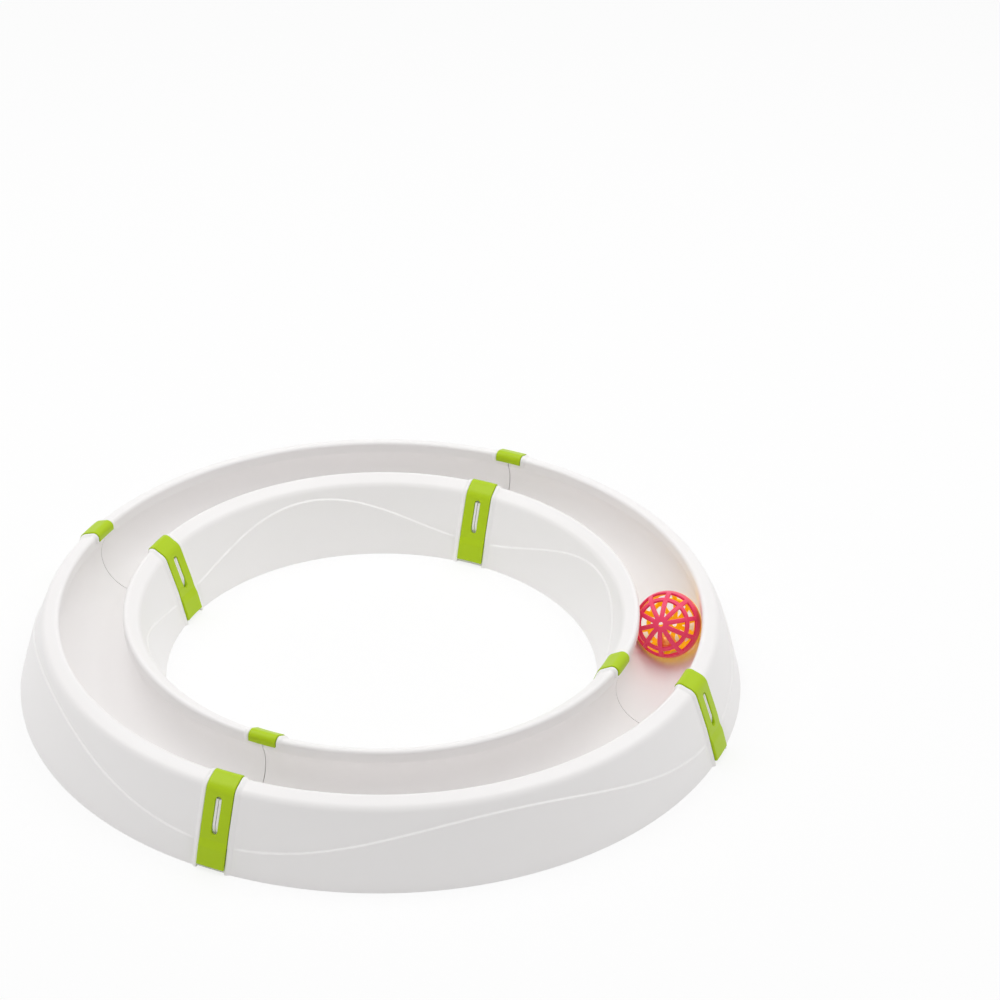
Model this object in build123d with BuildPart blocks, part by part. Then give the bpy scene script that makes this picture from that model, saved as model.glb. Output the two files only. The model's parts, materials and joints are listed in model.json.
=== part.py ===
from build123d import *
import os
from math import acos, asin, cos, degrees, radians, sin, sqrt, tan

# Ball track toy: a ring of four moulded channel segments, held by strap clips over
# both rims, with a captive lattice ball and the bell in it. The origin is the centre
# of the ring on the floor and +Z is up. Lengths are millimetres, angles are degrees.

# Channel in which the ball runs
track_radius = 191.0
channel_radius = 24.0
floor_height = 8.5
lip_overhang = 3.5
mouth_edge_radius = 3.0
wall = 2.2

# Rims, skirts and the joints between segments
rim_rise = 20.7
rim_edge_radius = 2.5
shoulder_radius = 7.0
outer_band_width = 11.5
outer_band_angle = 19.4
outer_skirt_flare = 17.0
inner_band_width = 11.0
inner_band_angle = 30.0
inner_skirt_flare = 15.3
skirt_crown = 0.9
crown_radius = 80.0
segment_count = 4
joint_gap = 0.5

# Strap clips and their seats at the segment ends
clip_width = 18.4
strap_thickness = 2.3
recess_depth = 0.8
seat_clearance = 0.3
side_clearance = 0.3
lip_drop = 4.7
foot_height = 2.7
jog_height = 16.5
jog_length = 4.5
jog_offset = 0.9
jog_radius = 6.0
bead_width = 2.6
bead_height = 1.2
slot_width = 4.2
slot_foot = 22.4
slot_length = 22.5
slot_clearance = 0.25
rib_setback = 0.8
rib_clearance = 0.15

# Lattice ball
ball_play = 1.4
ball_clearance = 0.3
ball_wall = 1.8
ball_azimuth = -18.5
pole_azimuth = 229.0
pole_elevation = 31.5
spoke_count = 10
spoke_width = 3.2
spoke_turn = 22.5
hub_hole_radius = 1.6
hub_angle = 14.0
ring_start_angle = 45.0
ring_end_angle = 53.0
equator_angle = 71.0
tongue_height = 1.5
tongue_thickness = 0.8
tongue_clearance = 0.1

# Bell in the ball
bell_radius = 6.0
bell_wall = 0.5
bell_clearance = 0.3
bell_seam_width = 0.6
bell_seam_height = 0.8
bell_slot_width = 1.2
bell_slot_depth = 3.6
pellet_radius = 1.8
pellet_clearance = 0.1

# Places that follow from the sizes above
channel_height = floor_height + channel_radius
mouth_half_width = channel_radius - lip_overhang
mouth_angle = degrees(acos(mouth_half_width / channel_radius))
mouth_height = channel_height + channel_radius * sin(radians(mouth_angle))
rim_height = channel_height + rim_rise
lip_tip_height = rim_height - lip_drop
slot_top = slot_foot + slot_length
segment_arc = 360 / segment_count
gap_angle = degrees(joint_gap / track_radius)
strap_inset = recess_depth - seat_clearance
strap_proud = strap_thickness - strap_inset
rib_proud = strap_proud - rib_setback
recess_width = clip_width + 2 * side_clearance
bead_span = recess_width + 2 * bead_width
sink = 2 * (wall + bead_height)
reach = 2 * track_radius


class Rim:
    """One rim of the track with its skirt; side is 1 for the outer and -1 for the inner."""

    def __init__(self, side, band_width, band_angle, skirt_flare):
        self.side = side
        self.band_angle = band_angle
        self.lip = track_radius + side * mouth_half_width
        self.crest = (self.lip + side * rim_edge_radius, rim_height - rim_edge_radius)
        self.band_top = (
            self.crest[0] + side * rim_edge_radius * sin(radians(band_angle)),
            self.crest[1] + rim_edge_radius * cos(radians(band_angle)),
        )
        shoulder = self.lip + side * band_width
        drop = abs(shoulder - self.band_top[0]) * tan(radians(band_angle))
        self.shoulder = (shoulder, self.band_top[1] - drop)
        self.base = (shoulder + side * skirt_flare, 0.0)
        self.middle = (
            (self.shoulder[0] + self.base[0]) / 2 + side * skirt_crown,
            self.shoulder[1] / 2,
        )
        self.slope = skirt_flare / self.shoulder[1]
        self.outward = Side.LEFT if side > 0 else Side.RIGHT
        self.inward = Side.RIGHT if side > 0 else Side.LEFT

    def skirt(self, height, proud=0.0):
        """Point of the skirt at a height, standing proud of it along its normal."""
        low, high = self.base, self.middle
        if height > self.middle[1]:
            low, high = self.middle, self.shoulder
        share = (height - low[1]) / (high[1] - low[1])
        radius = low[0] + share * (high[0] - low[0])
        return (radius + self.side * proud * sqrt(1 + self.slope**2), height)

    def draw_path(self, start_height, end_points, end_radii=()):
        """Draws the exposed line from the channel's lip over the rim and down the skirt."""
        Line((self.lip, start_height), (self.lip, self.crest[1]))
        start_angle = 90 + self.side * 90
        CenterArc(self.crest, rim_edge_radius, start_angle, -self.side * (90 + self.band_angle))
        radii = [shoulder_radius, crown_radius, *end_radii]
        FilletPolyline(self.band_top, self.shoulder, self.middle, *end_points, radius=radii)

    def strap_ends(self):
        """Points of a strap below the skirt's middle: the jog outwards and the foot."""
        jog_top = self.skirt(jog_height + jog_length / 2)
        jog_foot = self.skirt(jog_height - jog_length / 2, jog_offset)
        return [jog_top, jog_foot, self.skirt(foot_height, jog_offset)]


outer_rim = Rim(1, outer_band_width, outer_band_angle, outer_skirt_flare)
inner_rim = Rim(-1, inner_band_width, inner_band_angle, inner_skirt_flare)
rims = (outer_rim, inner_rim)


def radial_plane(azimuth):
    """Upright plane through the ring's axis: x runs outwards and y runs up."""
    turn = radians(azimuth)
    return Plane((0, 0, 0), x_dir=(cos(turn), sin(turn), 0), z_dir=(sin(turn), -cos(turn), 0))


def slot_outline(clearance):
    """Draws the upright slot of a clip, made smaller all round by a clearance."""
    with Locations((0, slot_foot + slot_length / 2)):
        SlotOverall(slot_length - 2 * clearance, slot_width - 2 * clearance, rotation=90)


clip_turn = degrees(bead_span / inner_rim.base[0])
seat_start = lip_tip_height - side_clearance


def layer_profile(rim, proud, depth, start_height, end_points, end_radii=()):
    """Profile of a layer along a rim, from a depth below its exposed line to a height over it."""
    with BuildSketch(radial_plane(-clip_turn)) as profile:
        for amount, side in ((proud, rim.outward), (depth, rim.inward)):
            with BuildLine():
                rim.draw_path(start_height, end_points, end_radii)
                offset(amount=amount, side=side)
            make_face()
    return profile.sketch


# Recess across a joint that takes the straps over both rims
with BuildPart() as recess:
    for rim in rims:
        add(layer_profile(rim, bead_height, recess_depth, seat_start, [rim.skirt(-sink)]))
    revolve(axis=Axis.Z, revolution_arc=2 * clip_turn)
    Box(2 * reach, recess_width, reach, mode=Mode.INTERSECT)

# Raised beads on both sides of the straps
with BuildPart() as beads:
    for rim in rims:
        add(layer_profile(rim, bead_height, wall / 2, seat_start, [rim.skirt(-sink)]))
    revolve(axis=Axis.Z, revolution_arc=2 * clip_turn)
    Box(2 * reach, bead_span, reach, mode=Mode.INTERSECT)
    Box(2 * reach, recess_width, reach, mode=Mode.SUBTRACT)

# Ribs that stand in the slots of the straps, ramped at the foot so that a strap lifts off
with BuildPart() as ribs:
    for rim in rims:
        foot = rim.skirt(slot_foot, -strap_inset - rib_clearance)
        crest = rim.skirt(slot_foot, rib_proud)
        ramp_height = slot_foot + abs(crest[0] - foot[0]) / rim.slope
        with BuildSketch(Plane.XZ):
            with BuildLine():
                Polyline(
                    rim.skirt(slot_foot, -wall / 2 - recess_depth / 2),
                    foot,
                    (foot[0], ramp_height),
                    rim.skirt(slot_top, rib_proud),
                    rim.skirt(slot_top, -wall / 2 - recess_depth / 2),
                    close=True,
                )
            make_face()
    extrude(amount=slot_width, both=True)
    with BuildSketch(Plane.YZ):
        slot_outline(slot_clearance)
    extrude(amount=reach, mode=Mode.INTERSECT)

# Track segment, centred on the X axis: an open-bottomed shell with half a seat at each end
with BuildPart() as segment:
    with BuildSketch(radial_plane(-segment_arc / 2)) as section:
        with BuildLine():
            for rim in rims:
                rim.draw_path(mouth_height, [rim.base])
            CenterArc(
                (track_radius, channel_height), channel_radius, mouth_angle, -180 - 2 * mouth_angle
            )
            Polyline(
                outer_rim.base,
                (outer_rim.base[0], -sink),
                (inner_rim.base[0], -sink),
                inner_rim.base,
            )
        make_face()
        mouth_corners = [
            section.vertices().sort_by_distance((rim.lip, mouth_height))[0] for rim in rims
        ]
        fillet(mouth_corners, radius=mouth_edge_radius)
        offset(amount=-wall, mode=Mode.SUBTRACT)
    revolve(axis=Axis.Z, revolution_arc=segment_arc)
    for turn in (-segment_arc / 2, segment_arc / 2):
        add(beads.part.rotate(Axis.Z, turn))
        add(recess.part.rotate(Axis.Z, turn), mode=Mode.SUBTRACT)
        add(ribs.part.rotate(Axis.Z, turn))
    with BuildSketch(radial_plane((gap_angle - segment_arc) / 2)):
        with BuildLine():
            Polyline((wall, 0), (reach, 0), (reach, reach), (wall, reach), close=True)
        make_face()
    revolve(axis=Axis.Z, revolution_arc=segment_arc - gap_angle, mode=Mode.INTERSECT)


def strap_clip(rim):
    """Strap clip over one rim, centred on the X axis."""
    ends, end_radii = rim.strap_ends(), (jog_radius, jog_radius)
    with BuildPart() as clip:
        add(layer_profile(rim, strap_proud, strap_inset, lip_tip_height, ends, end_radii))
        revolve(axis=Axis.Z, revolution_arc=2 * clip_turn)
        Box(2 * reach, clip_width, reach, mode=Mode.INTERSECT)
        with BuildSketch(Plane.YZ.offset(track_radius)):
            slot_outline(0)
        extrude(amount=rim.side * track_radius, mode=Mode.SUBTRACT)
    return clip.part


# Lattice ball: two half shells about a pole, with a tongue between them at the equator
ball_radius = channel_radius - ball_play
ball_bore = ball_radius - ball_wall
socket_radius = ball_bore + tongue_thickness + tongue_clearance
tongue_angle = degrees(asin(tongue_height / ball_bore))
socket_angle = degrees(asin((tongue_height + tongue_clearance) / ball_bore))


def draw_sector(inner, outer, start, end):
    """Draws a ring sector between two radii, from one angle off the pole to another."""
    far = CenterArc((0, 0), outer, 90 - start, start - end)
    near = CenterArc((0, 0), inner, 90 - start, start - end)
    Line(far @ 0, near @ 0)
    Line(far @ 1, near @ 1)


with BuildPart() as windows:
    with BuildSketch(Plane.XZ):
        for start, end in (
            (hub_angle, ring_start_angle),
            (ring_end_angle, equator_angle),
            (180 - equator_angle, 180 - ring_end_angle),
            (180 - ring_start_angle, 180 - hub_angle),
        ):
            with BuildLine():
                draw_sector(ball_bore - ball_wall, ball_radius + ball_wall, start, end)
            make_face()
    revolve(axis=Axis.Z)
    with PolarLocations(ball_radius, spoke_count, start_angle=spoke_turn):
        Box(2 * ball_radius, spoke_width, 3 * ball_radius, mode=Mode.SUBTRACT)
    Cylinder(hub_hole_radius, 3 * ball_radius)

with BuildPart() as ball_half_pink:
    with BuildSketch(Plane.XZ):
        with BuildLine():
            draw_sector(ball_bore, ball_radius, 0, 90)
        make_face()
        with BuildLine():
            draw_sector(ball_bore, ball_bore + tongue_thickness, 90, 90 + tongue_angle)
        make_face()
    revolve(axis=Axis.Z)
    add(windows.part, mode=Mode.SUBTRACT)

with BuildPart() as ball_half_yellow:
    with BuildSketch(Plane.XZ):
        with BuildLine():
            draw_sector(ball_bore, ball_radius, 90 + socket_angle, 180)
        make_face()
        with BuildLine():
            draw_sector(socket_radius, ball_radius, 90, 90 + socket_angle)
        make_face()
    revolve(axis=Axis.Z)
    add(windows.part, mode=Mode.SUBTRACT)

ball_centre = Vector(
    track_radius * cos(radians(ball_azimuth)),
    track_radius * sin(radians(ball_azimuth)),
    floor_height + ball_clearance + ball_radius,
)
pole = Vector(1, 0, 0).rotate(Axis.Y, -pole_elevation).rotate(Axis.Z, pole_azimuth)
level = Vector(0, 1, 0).rotate(Axis.Z, pole_azimuth)
ball_place = Plane(ball_centre, x_dir=level, z_dir=pole).location

# Jingle bell lying at the bottom of the ball, and the pellet in it
bell_centre = ball_centre - Vector(0, 0, ball_bore - bell_clearance - bell_radius)
bell_bore = bell_radius - bell_wall
bell_plane = Plane(bell_centre)

with BuildPart(bell_plane) as bell_shell:
    Sphere(bell_radius)
    Cylinder(bell_radius + bell_seam_width, bell_seam_height)
    Sphere(bell_bore, mode=Mode.SUBTRACT)
    with Locations((0, 0, bell_slot_depth / 2 - bell_radius)):
        Box(2 * bell_radius, bell_slot_width, bell_slot_depth, mode=Mode.SUBTRACT)
        Box(bell_slot_width, 2 * bell_radius, bell_slot_depth, mode=Mode.SUBTRACT)

with BuildPart(bell_plane) as bell_pellet:
    with Locations((0, 0, pellet_radius + pellet_clearance - bell_bore)):
        Sphere(pellet_radius)

# Every piece in its place
pieces = {
    "ball_half_pink": ball_half_pink.part.moved(ball_place),
    "ball_half_yellow": ball_half_yellow.part.moved(ball_place),
    "bell_shell": bell_shell.part,
    "bell_pellet": bell_pellet.part,
}
outer_clip = strap_clip(outer_rim)
inner_clip = strap_clip(inner_rim)
for index, name in enumerate(("right", "back", "left", "front")):
    pieces[f"{name}_segment"] = segment.part.rotate(Axis.Z, index * segment_arc)
for index, name in enumerate(("back_right", "back_left", "front_left", "front_right")):
    turn = (index + 0.5) * segment_arc
    pieces[f"outer_clip_{name}"] = outer_clip.rotate(Axis.Z, turn)
    pieces[f"inner_clip_{name}"] = inner_clip.rotate(Axis.Z, turn)

os.makedirs("parts", exist_ok=True)
for name, piece in pieces.items():
    piece.label = name
    export_step(piece, f"parts/{name}.step")
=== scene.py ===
"""Dressed model of a ball track toy: ring segments, strap clips, lattice ball and bell.

Sizes are millimetres in the classes and become metres when a mesh is made. The frame's
origin is the centre of the ring on the floor, +Z is up and the joints lie at 45 degrees.
"""

import json
import logging
import math
from dataclasses import dataclass, field
from enum import Enum
from typing import Any, Mapping, Optional, Sequence, Union

import bmesh
import bpy
import numpy as np
from mathutils import Matrix, Vector


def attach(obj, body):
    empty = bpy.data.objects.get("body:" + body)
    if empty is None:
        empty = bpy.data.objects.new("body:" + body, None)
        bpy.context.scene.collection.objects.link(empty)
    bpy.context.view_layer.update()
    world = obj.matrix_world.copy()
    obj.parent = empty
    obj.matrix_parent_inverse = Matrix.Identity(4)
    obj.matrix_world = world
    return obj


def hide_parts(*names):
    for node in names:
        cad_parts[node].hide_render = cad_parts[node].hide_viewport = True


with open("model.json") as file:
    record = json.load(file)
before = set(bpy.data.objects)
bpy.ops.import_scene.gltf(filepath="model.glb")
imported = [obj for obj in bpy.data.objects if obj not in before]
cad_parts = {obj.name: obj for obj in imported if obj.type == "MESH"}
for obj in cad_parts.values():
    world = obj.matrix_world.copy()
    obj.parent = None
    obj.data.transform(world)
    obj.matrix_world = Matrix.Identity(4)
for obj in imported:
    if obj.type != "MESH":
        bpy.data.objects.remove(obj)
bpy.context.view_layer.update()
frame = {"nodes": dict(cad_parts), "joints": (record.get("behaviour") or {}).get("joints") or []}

MM = 0.001
BLACK = (0.0, 0.0, 0.0, 1.0)
WHITE = (1.0, 1.0, 1.0, 1.0)
log = logging.getLogger("ball_track")

Array = np.ndarray
Amount = Union[float, Array]
Point = tuple[float, float]
Colour = tuple[float, float, float]


class Wire:
    """Output socket of a shader node, used as a number in Python expressions."""

    def __init__(self, graph: "ShaderGraph", socket: bpy.types.NodeSocket) -> None:
        """Keeps the socket and the graph that its Math nodes go into."""
        self.graph = graph
        self.socket = socket

    def math(self, operation: str, first: "Value", second: "Value") -> "Wire":
        """Adds one Math node on two values.

        Args:
            operation: Name of the Math node's operation.
            first: First number or wire.
            second: Second number or wire.

        Returns:
            The result as a wire.
        """
        return self.graph.add("ShaderNodeMath", {"operation": operation}, {0: first, 1: second})

    def __add__(self, other: "Value") -> "Wire":
        """Sum of two values."""
        return self.math("ADD", self, other)

    def __radd__(self, other: "Value") -> "Wire":
        """Sum with the wire on the right."""
        return self.math("ADD", other, self)

    def __sub__(self, other: "Value") -> "Wire":
        """Difference of two values."""
        return self.math("SUBTRACT", self, other)

    def __rsub__(self, other: "Value") -> "Wire":
        """Difference with the wire on the right."""
        return self.math("SUBTRACT", other, self)

    def __mul__(self, other: "Value") -> "Wire":
        """Product of two values."""
        return self.math("MULTIPLY", self, other)

    def __rmul__(self, other: "Value") -> "Wire":
        """Product with the wire on the right."""
        return self.math("MULTIPLY", other, self)

    def at_most(self, limit: "Value") -> "Wire":
        """Smaller of two values."""
        return self.math("MINIMUM", self, limit)


Value = Union[float, Sequence[float], Wire]


class ShaderGraph:
    """Node tree of a material or a world, filled by one node-making method."""

    noise_roughness = 0.55

    def __init__(self, tree: bpy.types.NodeTree) -> None:
        """Empties the tree.

        Args:
            tree: Node tree to fill.
        """
        self.tree = tree
        tree.nodes.clear()

    def add(
        self,
        kind: str,
        settings: Optional[Mapping[str, Any]] = None,
        inputs: Optional[Mapping[Union[str, int], Value]] = None,
        output: Union[str, int] = 0,
    ) -> Optional[Wire]:
        """Makes one node, sets it and links it.

        Args:
            kind: Type name of the node.
            settings: Attributes of the node; "stops" holds a ramp's positions and colours.
            inputs: Numbers, colours or wires by socket name or index.
            output: Socket that is returned.

        Returns:
            The output socket as a wire, or None for a node that has none.
        """
        node = self.tree.nodes.new(kind)
        for name, setting in (settings or {}).items():
            if name == "stops":
                elements = node.color_ramp.elements
                for _ in range(len(setting) - len(elements)):
                    elements.new(1.0)
                for element, (position, colour) in zip(elements, setting):
                    element.position = position
                    element.color = colour
            else:
                setattr(node, name, setting)
        for key, value in (inputs or {}).items():
            if isinstance(value, Wire):
                self.tree.links.new(value.socket, node.inputs[key])
            else:
                node.inputs[key].default_value = value
        return Wire(self, node.outputs[output]) if len(node.outputs) else None

    def noise(self, scale: float, detail: float = 2.0, stretch: Point = (1.0, 1.0)) -> Wire:
        """Noise from 0 to 1 on the piece's own coordinates.

        Args:
            scale: Cells a metre.
            detail: Octaves of finer noise.
            stretch: Factors on the level and on the upright coordinates.

        Returns:
            The noise as a wire.
        """
        place = self.add("ShaderNodeTexCoord", output="Object")
        level, upright = stretch
        place = self.add(
            "ShaderNodeMapping", inputs={"Vector": place, "Scale": (level, level, upright)}
        )
        return self.add(
            "ShaderNodeTexNoise",
            inputs={
                "Vector": place,
                "Scale": scale,
                "Detail": detail,
                "Roughness": self.noise_roughness,
            },
        )

    def blend(self, factor: Value, first: Value, second: Value) -> Wire:
        """Mix of two colours.

        Args:
            factor: Share of the second colour.
            first: First colour or wire.
            second: Second colour or wire.

        Returns:
            The mixed colour as a wire.
        """
        return self.add(
            "ShaderNodeMix",
            {"data_type": "RGBA"},
            {"Factor": factor, 6: first, 7: second},
            output=2,
        )

    def bump(self, height: Wire, strength: float, distance: float) -> Wire:
        """Normal of a surface roughened by a height.

        Args:
            height: Height as a wire.
            strength: Share of the roughening that shows.
            distance: Metres for each unit of height.

        Returns:
            The normal as a wire.
        """
        return self.add(
            "ShaderNodeBump",
            inputs={"Height": height, "Strength": strength, "Distance": distance},
        )

    def surface(self, shader: Wire) -> None:
        """Links a shader to the material's output."""
        self.add("ShaderNodeOutputMaterial", inputs={"Surface": shader})


def opaque(colour: Colour) -> tuple[float, float, float, float]:
    """Colour with an alpha of one."""
    return (*colour, 1.0)


def empty_material(name: str) -> tuple[bpy.types.Material, ShaderGraph]:
    """Makes a material without nodes.

    Args:
        name: Name of the material.

    Returns:
        The material and the graph of its node tree.
    """
    material = bpy.data.materials.new(name)
    material.use_nodes = True
    return material, ShaderGraph(material.node_tree)


@dataclass(frozen=True)
class MouldedPlastic:
    """Satin moulded plastic: faint colour drift, fine grain and rubbed patches."""

    slot: str
    colour: Colour
    drift: Colour
    roughness: float = 0.36
    roughness_spread: float = 0.14
    grain_scale: float = 1500.0
    grain_depth: float = 0.05
    ripple_scale: float = 28.0
    ripple_depth: float = 0.12
    bump_strength: float = 0.35
    bump_distance: float = 0.0004
    patch_scale: float = 16.0
    scuff_scale: float = 90.0
    scuff_stretch: Point = (1.0, 5.0)
    scuff_start: float = 0.58
    scuff_full: float = 0.74
    scuff_rise: float = 0.1
    refraction: float = 1.46
    shine: float = 0.4
    coat: float = 0.05
    coat_roughness: float = 0.22
    # Strength of painted light: the base colour is emitted whatever the lamps give.
    painted_and_backdrop_glow: float = 0.0

    def material(self) -> bpy.types.Material:
        """Builds the material.

        The colour runs from the base colour to its drift with broad noise. Roughness is the
        base value plus the same noise about its middle, and rises where stretched noise
        leaves scuffs. The bump adds a fine mould grain to a slow ripple of the moulded
        wall. The emission is painted light: the base colour is given out at a fixed strength
        whatever the lamps, in place of light that thin coloured plastic would pass on.

        Returns:
            The material.
        """
        material, graph = empty_material(self.slot)
        patches = graph.noise(self.patch_scale, detail=3.0)
        scuffs = graph.noise(self.scuff_scale, detail=4.0, stretch=self.scuff_stretch)
        streaks = graph.add(
            "ShaderNodeValToRGB",
            {"stops": [(self.scuff_start, BLACK), (self.scuff_full, WHITE)]},
            {"Fac": scuffs},
        )
        colour = graph.blend(patches, opaque(self.colour), opaque(self.drift))
        rough = self.roughness + self.roughness_spread * (patches - 0.5)
        grain = graph.noise(self.grain_scale, detail=2.0)
        ripple = graph.noise(self.ripple_scale, detail=1.0)
        relief = self.grain_depth * grain + self.ripple_depth * ripple
        shader = graph.add(
            "ShaderNodeBsdfPrincipled",
            inputs={
                "Base Color": colour,
                "Roughness": rough + self.scuff_rise * streaks,
                "Normal": graph.bump(relief, self.bump_strength, self.bump_distance),
                "IOR": self.refraction,
                # Painted light: the base colour emitted as light that no lamp gives.
                "Emission Color": colour,
                "Emission Strength": self.painted_and_backdrop_glow,
                "Specular IOR Level": self.shine,
                "Coat Weight": self.coat,
                "Coat Roughness": self.coat_roughness,
            },
        )
        graph.surface(shader)
        return material


@dataclass(frozen=True)
class PressedMetal:
    """Bright pressed metal with fine drawing marks and a little tarnish."""

    slot: str
    colour: Colour
    tarnish: Colour
    roughness: float = 0.24
    mark_scale: float = 700.0
    mark_stretch: Point = (1.0, 6.0)
    mark_strength: float = 0.1
    mark_distance: float = 0.0001
    tarnish_scale: float = 160.0
    tarnish_level: float = 0.4
    tarnish_rise: float = 0.2

    def material(self) -> bpy.types.Material:
        """Builds the material.

        Tarnish follows noise of middle scale in colour and roughness, and stretched fine
        noise gives the drawing marks as bump.

        Returns:
            The material.
        """
        material, graph = empty_material(self.slot)
        tarnish = graph.noise(self.tarnish_scale, detail=3.0)
        marks = graph.noise(self.mark_scale, detail=2.0, stretch=self.mark_stretch)
        shader = graph.add(
            "ShaderNodeBsdfPrincipled",
            inputs={
                "Base Color": graph.blend(tarnish, opaque(self.colour), opaque(self.tarnish)),
                "Metallic": 1.0,
                "Roughness": self.roughness + self.tarnish_rise * (tarnish - self.tarnish_level),
                "Normal": graph.bump(marks, self.mark_strength, self.mark_distance),
            },
        )
        graph.surface(shader)
        return material


class Finishes(Enum):
    """Finishes of the toy, one for each material slot of the record."""

    WHITE = MouldedPlastic("white_plastic", (0.95, 0.933, 0.928), (0.94, 0.92, 0.913))
    GREEN = MouldedPlastic(
        "green_plastic", (0.46, 0.65, 0.004), (0.43, 0.62, 0.003), roughness=0.4, shine=0.3
    )
    # Pink and yellow emit painted light in their base colours, which brightens them beyond what
    # the lamps give.
    PINK = MouldedPlastic(
        "pink_plastic", (0.90, 0.058, 0.155), (0.87, 0.048, 0.135), roughness=0.3, painted_and_backdrop_glow=0.06
    )
    YELLOW = MouldedPlastic(
        "yellow_plastic", (1.0, 0.65, 0.004), (0.99, 0.61, 0.003), roughness=0.3, painted_and_backdrop_glow=0.25
    )
    BRASS = PressedMetal("bell_brass", (0.98, 0.66, 0.20), (0.90, 0.55, 0.13), roughness=0.34)
    STEEL = PressedMetal("pellet_steel", (0.58, 0.57, 0.56), (0.44, 0.43, 0.42))


class Wardrobe:
    """Materials that are made once and shared by the pieces."""

    def __init__(self) -> None:
        """Starts with no material made."""
        self.made: dict[Finishes, bpy.types.Material] = {}

    def dress(self, piece: bpy.types.Object, finish: Finishes) -> None:
        """Gives a piece its material.

        Args:
            piece: Object to dress.
            finish: Finish that it takes.
        """
        if finish not in self.made:
            self.made[finish] = finish.value.material()
        piece.data.materials.clear()
        piece.data.materials.append(self.made[finish])


class Skin:
    """Closed surface put together from grids of points whose shared borders are welded."""

    weld_step = 1e-4
    sharp_angle = math.radians(38)

    def __init__(self) -> None:
        """Starts with no grid."""
        self.points: list[Array] = []
        self.faces: list[Array] = []
        self.count = 0

    def add(self, grid: Array, kept: Optional[Array] = None) -> None:
        """Adds a grid of points as quads.

        Args:
            grid: Points of shape (rows, columns, 3).
            kept: Mask of shape (rows - 1, columns - 1) of the cells that become faces.
        """
        rows, columns = grid.shape[:2]
        index = self.count + np.arange(rows * columns).reshape(rows, columns)
        corners = (index[:-1, :-1], index[:-1, 1:], index[1:, 1:], index[1:, :-1])
        quads = np.stack(corners, axis=-1)
        self.faces.append(quads.reshape(-1, 4) if kept is None else quads[kept])
        self.points.append(grid.reshape(-1, 3))
        self.count += rows * columns

    def welded(self) -> tuple[Array, list[list[int]]]:
        """Merges points that fall in one cell of the weld step and drops collapsed edges.

        Returns:
            Points in millimetres, and faces of three or four corners.
        """
        points = np.concatenate(self.points)
        cells = np.round(points / self.weld_step).astype(np.int64)
        _, first, shared = np.unique(cells, axis=0, return_index=True, return_inverse=True)
        faces = shared.reshape(-1)[np.concatenate(self.faces)]
        kept = faces != np.roll(faces, -1, axis=1)
        sizes = kept.sum(axis=1)
        solid = sizes >= 3
        loops = faces[solid][kept[solid]]
        split = np.split(loops, np.cumsum(sizes[solid])[:-1])
        return points[first], [face.tolist() for face in split]

    def build(self, name: str) -> bpy.types.Object:
        """Makes the mesh object, its faces outwards, smooth but for its sharp edges.

        Args:
            name: Name of the object.

        Returns:
            The object, with its place in its mesh.
        """
        points, faces = self.welded()
        mesh = bpy.data.meshes.new(name)
        mesh.from_pydata((points * MM).tolist(), [], faces)
        shell = bmesh.new()
        shell.from_mesh(mesh)
        loose = [vertex for vertex in shell.verts if not vertex.link_faces]
        bmesh.ops.delete(shell, geom=loose, context="VERTS")
        bmesh.ops.recalc_face_normals(shell, faces=shell.faces)
        open_edges = sum(not edge.is_manifold for edge in shell.edges)
        shell.to_mesh(mesh)
        shell.free()
        mesh.polygons.foreach_set("use_smooth", np.ones(len(mesh.polygons), bool))
        mesh.set_sharp_from_angle(angle=self.sharp_angle)
        piece = bpy.data.objects.new(name, mesh)
        bpy.context.scene.collection.objects.link(piece)
        log.info("%s: %d faces, %d open edges", name, len(mesh.polygons), open_edges)
        return piece


def arc_points(centre: Point, radius: float, start: float, end: float, step: float) -> Array:
    """Points of an arc, the centre plus the radius at angles evenly spaced.

    Args:
        centre: Centre of the arc.
        radius: Its radius.
        start: First angle in radians.
        end: Last angle in radians.
        step: Longest distance between points.

    Returns:
        Points of shape (count, 2), both ends included.
    """
    count = max(3, math.ceil(abs(end - start) * radius / step))
    angle = np.linspace(start, end, count)
    return np.array(centre) + radius * np.stack((np.cos(angle), np.sin(angle)), axis=-1)


def rounded_line(corners: Sequence[Point], radii: Sequence[float], step: float) -> Array:
    """Points of a broken line whose inner corners are rounded by arcs that touch both legs.

    Args:
        corners: Corner points, the ends included.
        radii: Radius at each inner corner.
        step: Longest distance between points.

    Returns:
        Points of shape (count, 2), evenly dense along the legs and the arcs.
    """
    knots = np.array(corners, float)
    stretches = [knots[:1]]
    for before, corner, after, radius in zip(knots, knots[1:], knots[2:], radii):
        inward = (before - corner) / np.linalg.norm(before - corner)
        onward = (after - corner) / np.linalg.norm(after - corner)
        half = math.acos(float(np.clip(inward @ onward, -1, 1))) / 2
        middle = (inward + onward) / np.linalg.norm(inward + onward)
        centre = corner + middle * radius / math.sin(half)
        first, last = (corner + leg * radius / math.tan(half) for leg in (inward, onward))
        start, end = (math.atan2(*(spot - centre)[::-1]) for spot in (first, last))
        sweep = (end - start + math.pi) % (2 * math.pi) - math.pi
        stretches.append(arc_points(tuple(centre), radius, start, start + sweep, step))
    stretches.append(knots[-1:])
    line = np.concatenate(stretches)
    length = np.concatenate(([0.0], np.cumsum(np.linalg.norm(np.diff(line, axis=0), axis=1))))
    even = np.linspace(0, length[-1], math.ceil(length[-1] / step))
    marks = np.unique(np.concatenate((even, length)))
    return np.stack([np.interp(marks, length, line[:, axis]) for axis in (0, 1)], axis=-1)


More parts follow.
